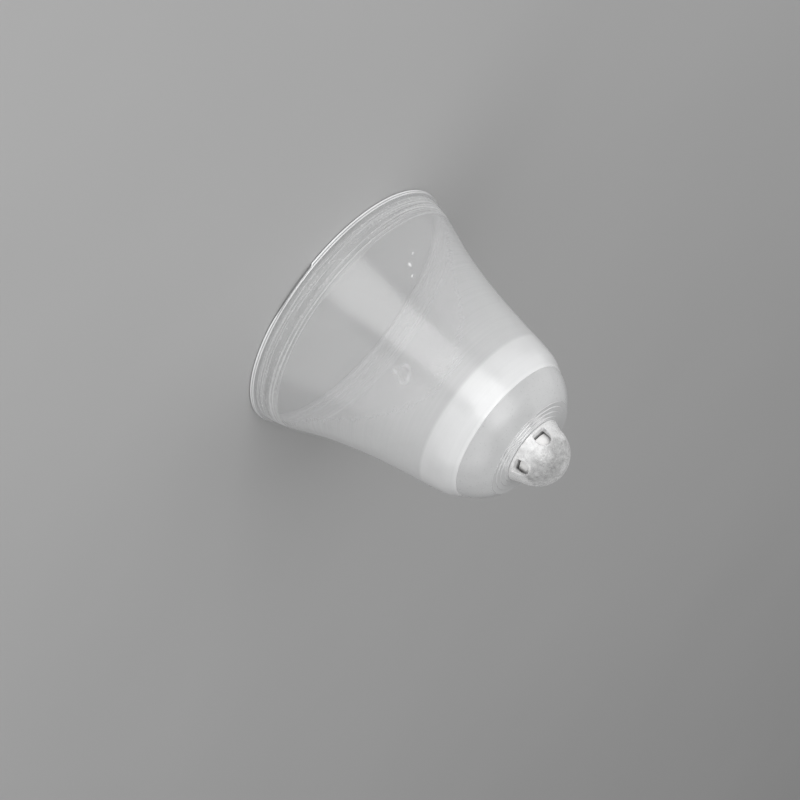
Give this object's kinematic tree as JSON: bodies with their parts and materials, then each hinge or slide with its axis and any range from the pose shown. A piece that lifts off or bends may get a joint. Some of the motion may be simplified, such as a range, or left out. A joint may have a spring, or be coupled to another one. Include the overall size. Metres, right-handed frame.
{
  "type": "prophy angle cup",
  "caption": "Translucent flared dental polishing cup on a hub, with a windowed snap dome that turns on the hub's pin.",
  "frame": {"origin": "centre of the cup's mouth, in the plane of the lip's flat face", "axes": "+Z along the axis from the mouth to the dome; +X and +Y square to it"},
  "size_m": [0.0082, 0.0082, 0.0084],
  "materials": {
    "skirt": "satin translucent elastomer with fine turned rings",
    "core": "milky translucent moulding",
    "cap": "satin translucent moulding",
    "collar": "satin, turned rings",
    "pin": "plain opaque moulding",
    "dome": "rough frosted moulding"
  },
  "bodies": {
    "cup": {"cup_skirt": "skirt", "hub_core": "core", "end_cap": "cap", "thrust_collar": "collar", "spindle_pin": "pin"},
    "dome": {"windowed_dome": "dome"}
  },
  "joints": [
    {"name": "dome_spin", "type": "hinge", "parent": "cup", "child": "dome", "pos_m": [0, 0, 0.00745], "axis": [0, 0, 1], "continuous": true}
  ]
}
